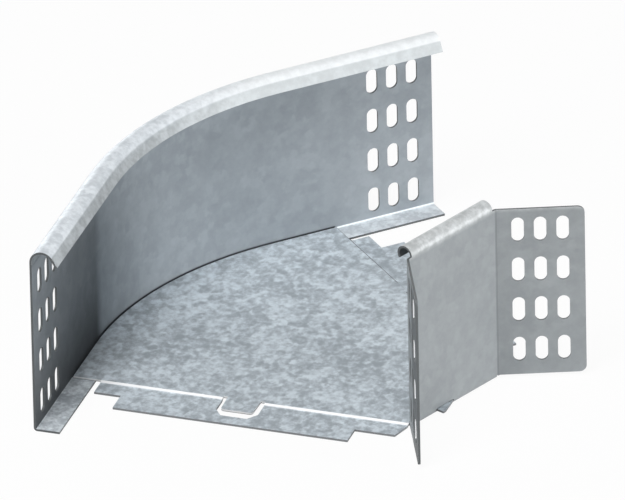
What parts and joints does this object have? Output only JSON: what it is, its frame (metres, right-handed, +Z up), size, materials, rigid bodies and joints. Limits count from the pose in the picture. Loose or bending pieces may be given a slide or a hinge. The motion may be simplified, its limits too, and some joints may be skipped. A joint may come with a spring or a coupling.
{
  "type": "cable tray bend",
  "caption": "Cable tray bend folded from galvanised sheet: a curved outer wall with a rolled rim, a floor plate with stepped joint strips and an inner corner bracket with slotted wings.",
  "frame": {"origin": "on the near run's centre line, on the base plane, in the middle of the near joint, where the joint strip carries the next tray's floor", "axes": "+Y along the near run, into the bend; +X towards the inner side, to which the tray turns by 45 degrees; +Z up, out of the open top"},
  "size_m": [0.2743, 0.3155, 0.1128],
  "materials": {
    "outer_side_wall": "galvanised, soft spangle",
    "floor_plate": "galvanised, clear spangle",
    "inner_corner_bracket": "galvanised, dull"
  },
  "bodies": {
    "root": {"outer_side_wall": "outer_side_wall", "floor_plate": "floor_plate", "inner_corner_bracket": "inner_corner_bracket"}
  },
  "joints": []
}
